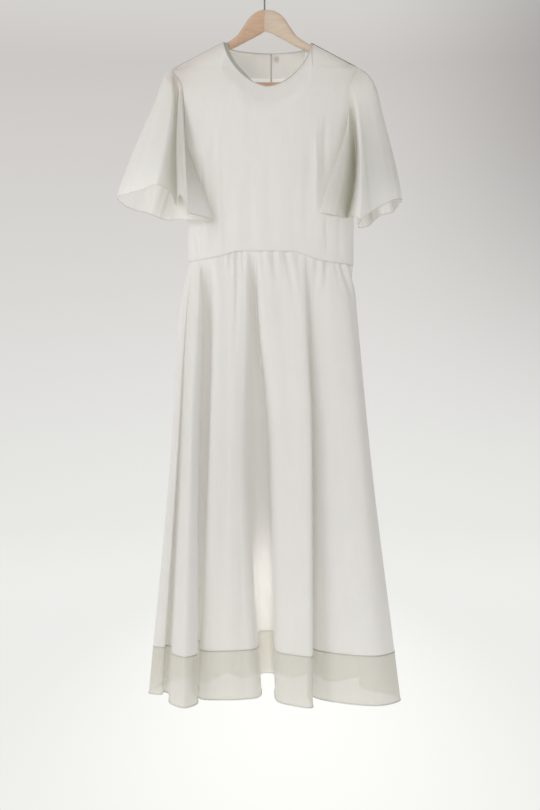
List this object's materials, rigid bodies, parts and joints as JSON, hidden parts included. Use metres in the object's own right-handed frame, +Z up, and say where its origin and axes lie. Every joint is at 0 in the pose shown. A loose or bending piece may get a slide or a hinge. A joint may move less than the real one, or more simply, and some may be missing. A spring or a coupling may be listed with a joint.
{
  "type": "maxi dress on a wooden clothes hanger",
  "caption": "Pale flutter-sleeved maxi dress with a round neck, a gathered waist and a long flared skirt, hanging on a contoured wooden hanger.",
  "frame": {"origin": "hang point: the inner top of the hook's curl, where a rail touches it", "axes": "+Z up, -Y towards the front of the dress, +X towards the wearer's left, which is at the right seen from the front"},
  "size_m": [0.5658, 0.356, 1.4397],
  "materials": {
    "cloth": "soft semi-sheer crepe georgette over a lining",
    "hem_band": "sheer single layer georgette",
    "wood": "satin varnished",
    "steel": "brushed",
    "button": "cloth covered"
  },
  "bodies": {
    "root": {"back_button": "button", "back_loop": "button", "bodice_back_left": "cloth", "bodice_back_right": "cloth", "bodice_front": "cloth", "hanger_arm_left": "wood", "hanger_arm_right": "wood", "hanger_bar": "wood", "hanger_hook": "steel", "hem_band_back": "hem_band", "hem_band_front": "hem_band", "neck_facing_back_left": "cloth", "neck_facing_back_right": "cloth", "neck_facing_front": "cloth", "skirt_back": "cloth", "skirt_front": "cloth", "sleeve_left": "cloth", "sleeve_right": "cloth"}
  },
  "joints": []
}
